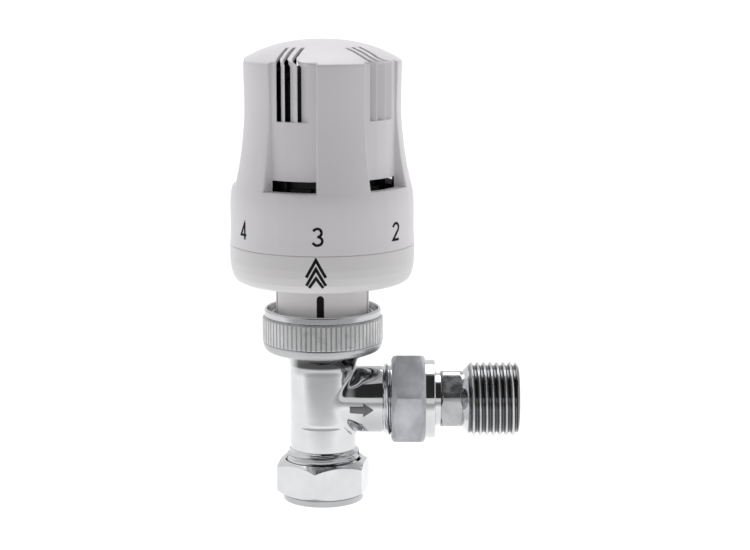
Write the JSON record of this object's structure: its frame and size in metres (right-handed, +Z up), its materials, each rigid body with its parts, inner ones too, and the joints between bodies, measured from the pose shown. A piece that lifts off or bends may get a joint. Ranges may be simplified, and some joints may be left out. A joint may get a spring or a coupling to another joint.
{
  "type": "thermostatic radiator valve",
  "caption": "Thermostatic radiator valve: chromed body with compression nut, side union and tail, and a white turning sensor head with slotted panels.",
  "frame": {"origin": "centre of the compression nut's lower face, on the axis of the supply pipe", "axes": "+Z up the spindle to the top of the dial, +X along the outlet to the radiator, -Y the front with the index mark"},
  "size_m": [0.0804, 0.0512, 0.1292],
  "materials": {
    "dial_white": "satin moulded ABS, white",
    "base_white": "satin moulded ABS, slightly warmer white",
    "neck_white": "satin moulded plastic, white",
    "chrome": "bright chrome plating on machined brass",
    "cast_chrome": "chrome plating on a cast surface",
    "brass": "turned brass",
    "steel": "drawn stainless wire and bar",
    "rubber": "matte EPDM rubber",
    "black_plastic": "matte glass-filled nylon, black",
    "capsule": "drawn aluminium can"
  },
  "bodies": {
    "root": {"valve_body": "cast_chrome", "bonnet_insert": "brass", "bonnet_o_ring": "rubber", "gland_nut": "brass", "gland_o_ring": "rubber", "return_spring": "steel", "neck_tube": "neck_white", "sensor_cage": "black_plastic", "base_ring": "base_white"},
    "dial": {"dial_cap": "dial_white"},
    "sensor_carrier": {"setting_sleeve": "black_plastic", "sensor_capsule": "capsule", "override_spring": "steel", "spring_cap": "black_plastic"},
    "stem": {"push_pin": "steel", "spindle": "steel", "spindle_clip": "steel", "disc_holder": "brass", "seat_washer": "rubber", "washer_nut": "brass"},
    "ring_keeper": {"ring_clip": "steel"},
    "ring": {"union_ring": "chrome"},
    "pipe_grip": {"olive": "brass"},
    "pipe_nut": {"compression_nut": "chrome"},
    "tail": {"radiator_tail": "chrome", "tail_o_ring": "rubber"},
    "tail_nut": {"union_nut": "chrome"}
  },
  "joints": [
    {"name": "dial_turn", "type": "hinge", "parent": "root", "child": "dial", "pos_m": [0, 0, 0.0734], "axis": [0, 0, 1], "range_deg": [-162, 108]},
    {"name": "sensor_lift", "type": "slide", "parent": "root", "child": "sensor_carrier", "axis": [0, 0, 1], "range_m": [-0.00144, 0.00096]},
    {"name": "stem_stroke", "type": "slide", "parent": "sensor_carrier", "child": "stem", "axis": [0, 0, 1], "range_m": [-0.0006, 0.0006], "stiffness_N_per_m": 800, "deforming": ["return_spring"]},
    {"name": "ring_lift", "type": "slide", "parent": "root", "child": "ring_keeper", "axis": [0, 0, 1], "range_m": [0, 0.0045]},
    {"name": "ring_turn", "type": "hinge", "parent": "ring_keeper", "child": "ring", "pos_m": [0, 0, 0.049], "axis": [0, 0, 1], "range_deg": [0, 1080]},
    {"name": "olive_slide", "type": "slide", "parent": "root", "child": "pipe_grip", "axis": [0, 0, -1], "range_m": [0, 0.00907]},
    {"name": "pipe_nut_turn", "type": "hinge", "parent": "pipe_grip", "child": "pipe_nut", "pos_m": [0, 0, 0.006], "axis": [0, 0, -1], "range_deg": [0, 1800]},
    {"name": "tail_slide", "type": "slide", "parent": "root", "child": "tail", "axis": [1, 0, 0], "range_m": [0, 0.00907]},
    {"name": "tail_nut_turn", "type": "hinge", "parent": "tail", "child": "tail_nut", "pos_m": [0.025, 0, 0.0286], "axis": [1, 0, 0], "range_deg": [0, 1800]}
  ],
  "couplings": [
    {"joint": "dial_turn", "follows": "sensor_lift", "rad_per_m": 1963.4},
    {"joint": "ring_turn", "follows": "ring_lift", "rad_per_m": 4188.8},
    {"joint": "pipe_nut_turn", "follows": "olive_slide", "rad_per_m": 3463.7},
    {"joint": "tail_nut_turn", "follows": "tail_slide", "rad_per_m": 3463.7}
  ]
}
